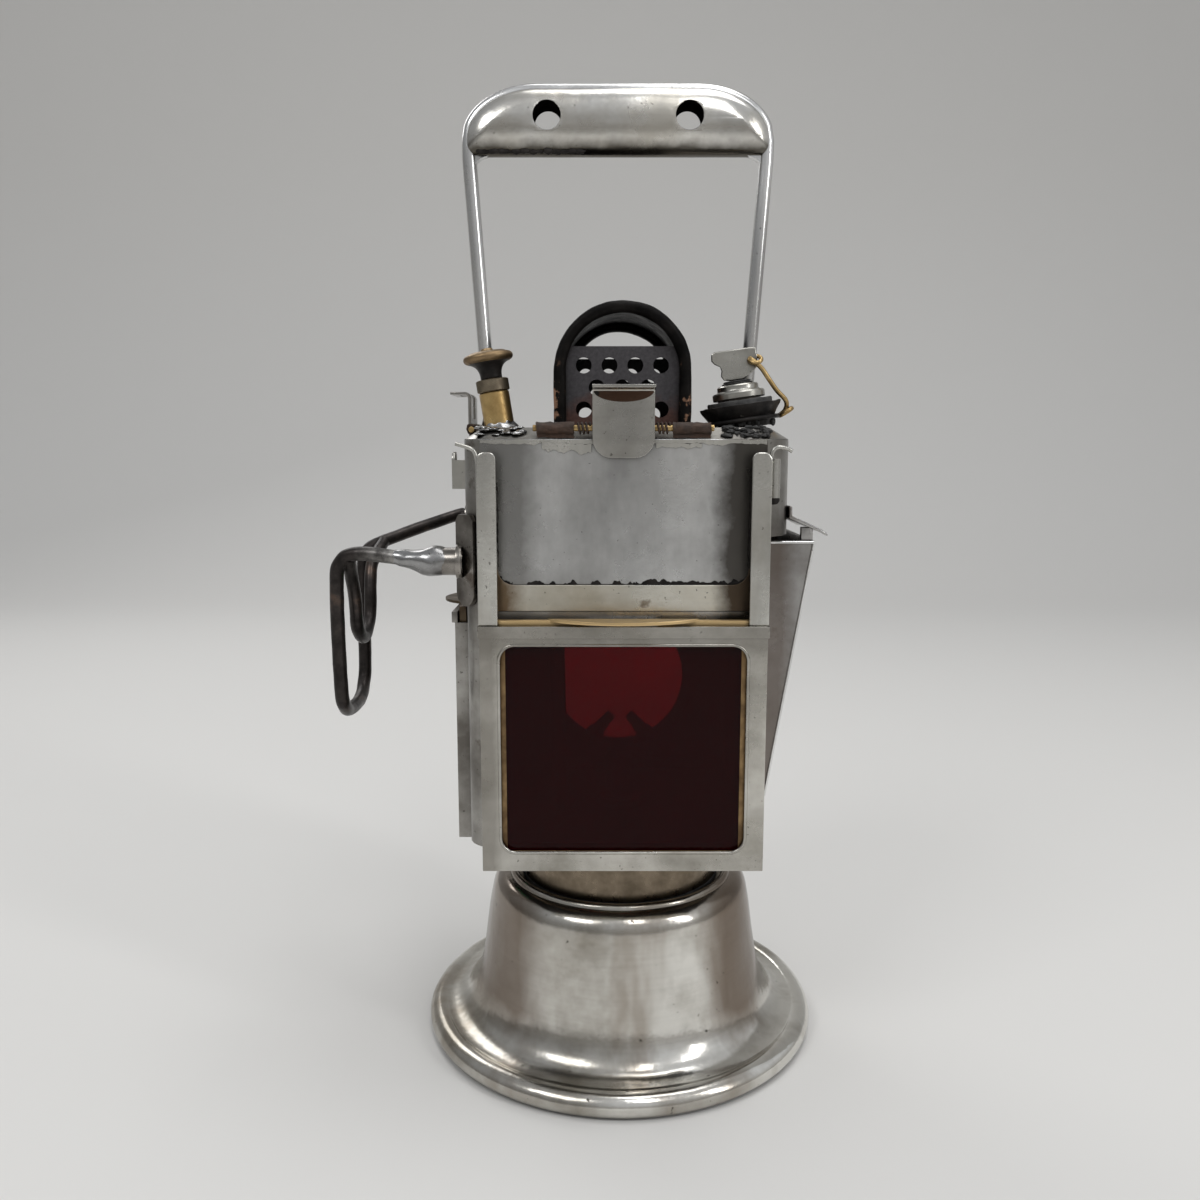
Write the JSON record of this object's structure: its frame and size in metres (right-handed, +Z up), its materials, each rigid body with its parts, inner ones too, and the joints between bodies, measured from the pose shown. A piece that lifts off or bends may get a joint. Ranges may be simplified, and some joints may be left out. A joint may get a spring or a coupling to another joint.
{
  "type": "carbide signal lamp",
  "caption": "Hand-held carbide signal lamp: spun bell base, sheet-metal lantern with water tank, sliding red and green filters, perforated chimney, fixed grip and wire belt hook.",
  "frame": {"origin": "centre of the foot on the lamp's axis, at the level it stands on", "axes": "+Z up the lamp's axis to the grip, the red front window faces -Y, the air duct is on +X"},
  "size_m": [0.1665, 0.14, 0.3276],
  "materials": {
    "nickel": "worn nickel plate, glossy with warm reflections",
    "tinned": "dull tinned sheet with solder smears and brown stains",
    "brass": "aged brass",
    "rusty": "rust-brown sheet and wire",
    "black": "sooty black",
    "rubber": "old black rubber",
    "red_glass": "dark red glass",
    "green_glass": "dark green glass",
    "clear_glass": "clear glass",
    "ceramic": "unglazed ceramic"
  },
  "bodies": {
    "lantern": {"neck_collar": "brass", "casing_floor": "tinned", "casing": "tinned", "burner": "brass", "burner_tips": "ceramic", "drip_pipe": "brass", "water_tank": "tinned", "tank_top": "tinned", "flue_liner": "black", "front_plate": "tinned", "lintel_strip": "tinned", "front_case": "tinned", "front_rails": "tinned", "front_pane": "clear_glass", "side_plate": "tinned", "side_case": "tinned", "side_clips": "tinned", "side_pane": "clear_glass", "chimney_hood": "black", "front_vent_plate": "rusty", "rear_vent_plate": "rusty", "handle_rods": "nickel", "handle_feet": "nickel", "handle_grip": "nickel", "hook_brackets": "tinned", "belt_hook": "black", "air_duct": "tinned", "air_duct_roof": "tinned", "valve_body": "brass", "valve_gland": "brass", "filler_neck": "black", "filler_gasket": "rubber", "front_catch_hinge": "rusty", "front_catch_pin": "brass", "front_catch_springs": "rusty", "side_catch_hinge": "rusty", "side_catch_pin": "brass", "side_catch_springs": "rusty", "door_hinge": "tinned"},
    "base": {"carbide_bell": "nickel", "base_bottom": "nickel", "base_neck": "brass", "base_gasket": "rubber", "carbide_tin": "tinned", "tin_lid": "tinned"},
    "red_filter": {"red_frame": "brass", "red_glass": "red_glass"},
    "green_filter": {"green_frame": "brass", "green_glass": "green_glass"},
    "front_catch": {"front_catch": "tinned"},
    "side_catch": {"side_catch": "tinned"},
    "water_valve": {"valve_knob": "brass", "valve_cone": "black", "valve_needle": "brass"},
    "filler_plug": {"filler_cap": "tinned", "cap_washer": "rubber", "cap_wing": "tinned", "cap_link": "brass"},
    "rear_door": {"rear_door": "tinned", "rear_lens": "clear_glass"}
  },
  "joints": [
    {"name": "base_twist", "type": "hinge", "parent": "lantern", "child": "base", "pos_m": [0, 0, 0.06], "axis": [0, 0, 1], "range_deg": [0, 60]},
    {"name": "red_slide", "type": "slide", "parent": "lantern", "child": "red_filter", "axis": [0, 0, 1], "range_m": [0, 0.072]},
    {"name": "green_slide", "type": "slide", "parent": "lantern", "child": "green_filter", "axis": [0, 0, 1], "range_m": [0, 0.072]},
    {"name": "front_catch_turn", "type": "hinge", "parent": "lantern", "child": "front_catch", "pos_m": [0, -0.0434, 0.2137], "axis": [-1, 0, 0], "range_deg": [0, 18], "stiffness_Nm_per_rad": 0.06, "springref_deg": -11.46},
    {"name": "side_catch_turn", "type": "hinge", "parent": "lantern", "child": "side_catch", "pos_m": [-0.0495, 0, 0.2137], "axis": [0, 1, 0], "range_deg": [0, 30], "stiffness_Nm_per_rad": 0.04, "springref_deg": -11.46},
    {"name": "valve_turn", "type": "hinge", "parent": "lantern", "child": "water_valve", "pos_m": [-0.04, -0.02, 0.214], "axis": [-0.1564, 0, 0.9877], "range_deg": [0, 360]},
    {"name": "cap_turn", "type": "hinge", "parent": "lantern", "child": "filler_plug", "pos_m": [0.0396, -0.02, 0.214], "axis": [-0.1392, 0, 0.9903], "range_deg": [0, 90]},
    {"name": "door_swing", "type": "hinge", "parent": "lantern", "child": "rear_door", "pos_m": [0.0375, 0.0456, 0.117], "axis": [0, 0, -1], "range_deg": [0, 110]}
  ]
}
